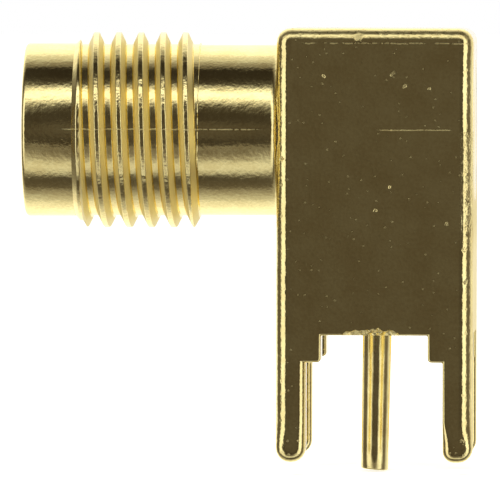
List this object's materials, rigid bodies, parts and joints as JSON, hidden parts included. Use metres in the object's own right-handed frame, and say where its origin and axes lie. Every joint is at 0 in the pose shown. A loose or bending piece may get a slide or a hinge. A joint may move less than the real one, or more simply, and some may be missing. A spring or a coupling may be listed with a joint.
{
  "type": "right-angle sma jack connector",
  "caption": "Right-angle board-mount coaxial jack: gold-plated casting with a threaded barrel, slotted centre socket, corner legs and a solder pin.",
  "frame": {"origin": "on the signal pin's axis, in the plane of the board's top face, where the four feet sit", "axes": "+Z away from the board, -X along the barrel towards the mating plug, Y across the symmetric part"},
  "size_m": [0.0142, 0.0062, 0.0141],
  "materials": {
    "gold_casting": "gold plated zinc casting, bright satin",
    "gold_contact": "gold plated turned metal, bright",
    "white_insulator": "white fluoropolymer, waxy"
  },
  "bodies": {
    "root": {"housing": "gold_casting", "front_insulator": "white_insulator", "centre_contact": "gold_contact", "signal_pin": "gold_contact", "lower_insulator": "white_insulator", "rear_cap": "gold_casting"}
  },
  "joints": []
}
